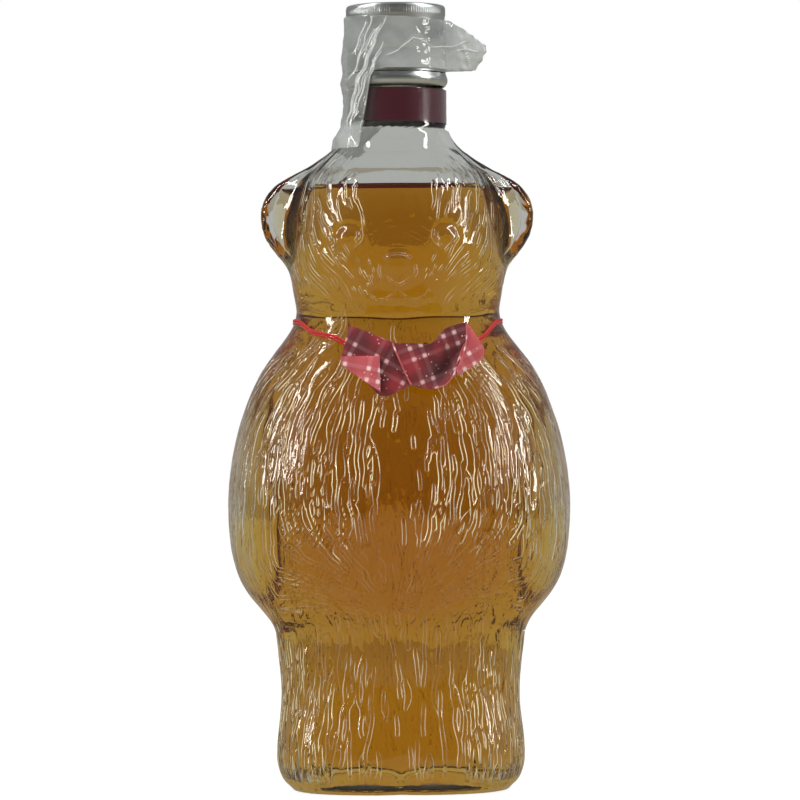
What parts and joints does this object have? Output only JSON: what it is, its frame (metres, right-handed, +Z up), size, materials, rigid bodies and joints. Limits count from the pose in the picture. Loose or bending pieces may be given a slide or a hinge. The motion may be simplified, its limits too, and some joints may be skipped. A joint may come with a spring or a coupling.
{
  "type": "whisky bottle",
  "caption": "Clear glass spirit bottle shaped as a standing bear, filled with whisky, with screw cap, torn shrink capsule, neck label and a plaid bow on an elastic cord.",
  "frame": {"origin": "on the surface that the bottle stands on, under the neck's axis, which is the centre of the footprint of the whole object", "axes": "+Z up along the neck's axis, -Y towards the front with the bear's face and the bow, +X to the viewer's right"},
  "size_m": [0.1088, 0.076, 0.2479],
  "materials": {
    "glass": "clear flint glass, moulded with a fur relief",
    "whisky": "clear amber liquid",
    "cap": "satin bare aluminium, knurled top band",
    "liner": "soft white polyethylene",
    "band": "satin bare aluminium",
    "label": "dark burgundy coated paper, bare",
    "film": "clear shrink film, crumpled and milky at the folds",
    "cord": "red covered elastic",
    "ribbon": "woven plaid ribbon, crimson and maroon with pale dots"
  },
  "bodies": {
    "root": {"glass_bottle": "glass", "whisky": "whisky", "neck_label": "label", "shrink_film": "film", "neck_cord": "cord"},
    "liner": {"cap_liner": "liner"},
    "cap": {"cap_shell": "cap"},
    "band": {"pilfer_band": "band"},
    "bow": {"bow_ribbon": "ribbon"}
  },
  "joints": [
    {"name": "cap_rise", "type": "slide", "parent": "root", "child": "liner", "axis": [0, 0, 1], "range_m": [0, 0.021]},
    {"name": "cap_turn", "type": "hinge", "parent": "liner", "child": "cap", "pos_m": [0, 0, 0.2266], "axis": [0, 0, 1], "range_deg": [0, 2340]},
    {"name": "band_turn", "type": "hinge", "parent": "root", "child": "band", "pos_m": [0, 0, 0.2238], "axis": [0, 0, 1], "continuous": true},
    {"name": "bow_flip", "type": "hinge", "parent": "root", "child": "bow", "pos_m": [0.005, -0.03278, 0.1375], "axis": [-1, 0, 0], "range_deg": [0, 40]}
  ],
  "couplings": [
    {"joint": "cap_rise", "follows": "cap_turn", "m_per_rad": 0.0005093}
  ]
}
